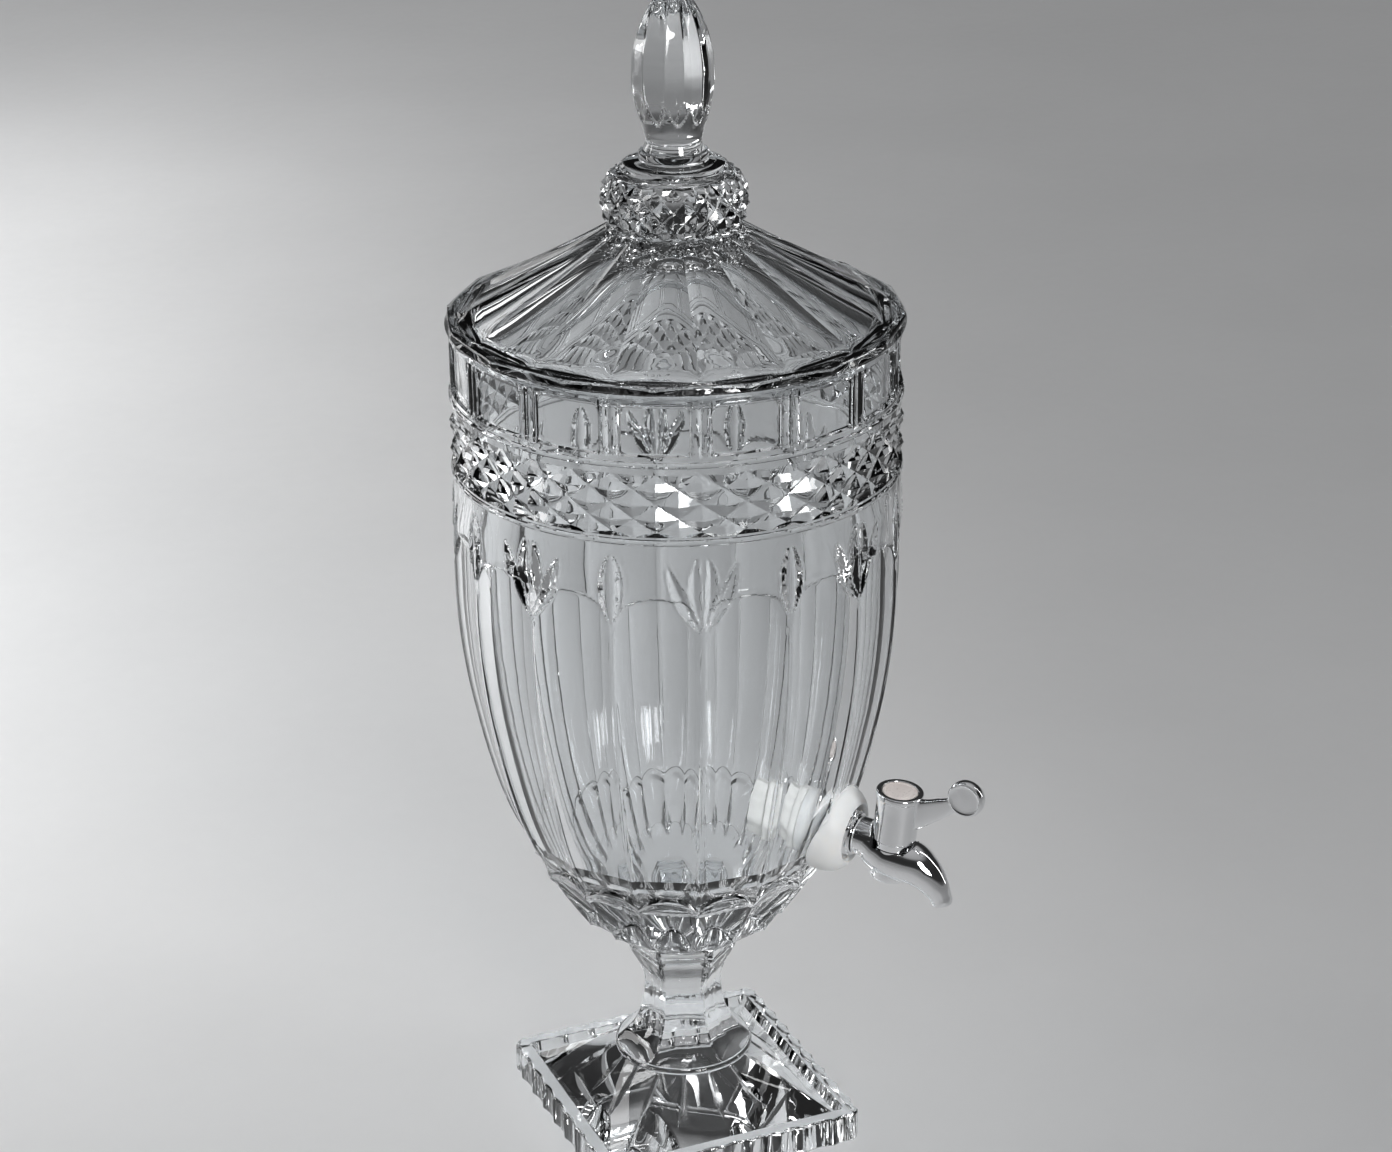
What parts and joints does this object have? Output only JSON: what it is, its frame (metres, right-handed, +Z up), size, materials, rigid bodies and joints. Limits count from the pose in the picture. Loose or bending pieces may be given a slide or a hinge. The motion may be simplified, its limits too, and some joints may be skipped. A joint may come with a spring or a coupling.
{
  "type": "footed drink dispenser",
  "caption": "Footed urn-shaped drink dispenser in pressed crystal glass, with a lift-off lid and a chromed quarter-turn tap low on the bowl.",
  "frame": {"origin": "on the bowl's axis, at the flat underside of the foot", "axes": "+Z up along the bowl's axis; the tap points to -Y"},
  "size_m": [0.207, 0.2589, 0.564],
  "materials": {
    "crystal_glass": "clear, fire-polished, cut pattern",
    "chrome_plate": "mirror-bright plating",
    "white_silicone": "translucent white, satin",
    "white_plastic": "moulded, satin",
    "black_rubber": "greased, dull",
    "bright_steel": "turned",
    "pale_badge": "plain inlaid disc"
  },
  "bodies": {
    "dispenser": {"glass_bowl": "crystal_glass", "glass_foot": "crystal_glass", "tap_body": "chrome_plate", "hex_collar": "chrome_plate", "outer_washer": "white_silicone", "inner_washer": "white_silicone", "seat_nut": "white_plastic", "lock_nut": "white_plastic", "plug_retainer": "chrome_plate"},
    "lid": {"glass_lid": "crystal_glass"},
    "handle": {"tap_handle": "chrome_plate", "valve_plug": "white_plastic", "lower_o_ring": "black_rubber", "upper_o_ring": "black_rubber", "handle_screw": "bright_steel", "badge_disc": "pale_badge"}
  },
  "joints": [
    {"name": "lid_lift", "type": "slide", "parent": "dispenser", "child": "lid", "axis": [0, 0, 1], "range_m": [0, 0.06]},
    {"name": "handle_turn", "type": "hinge", "parent": "dispenser", "child": "handle", "pos_m": [0, -0.11082, 0.17023], "axis": [0, -0.1045, 0.9945], "range_deg": [-90, 90]}
  ]
}
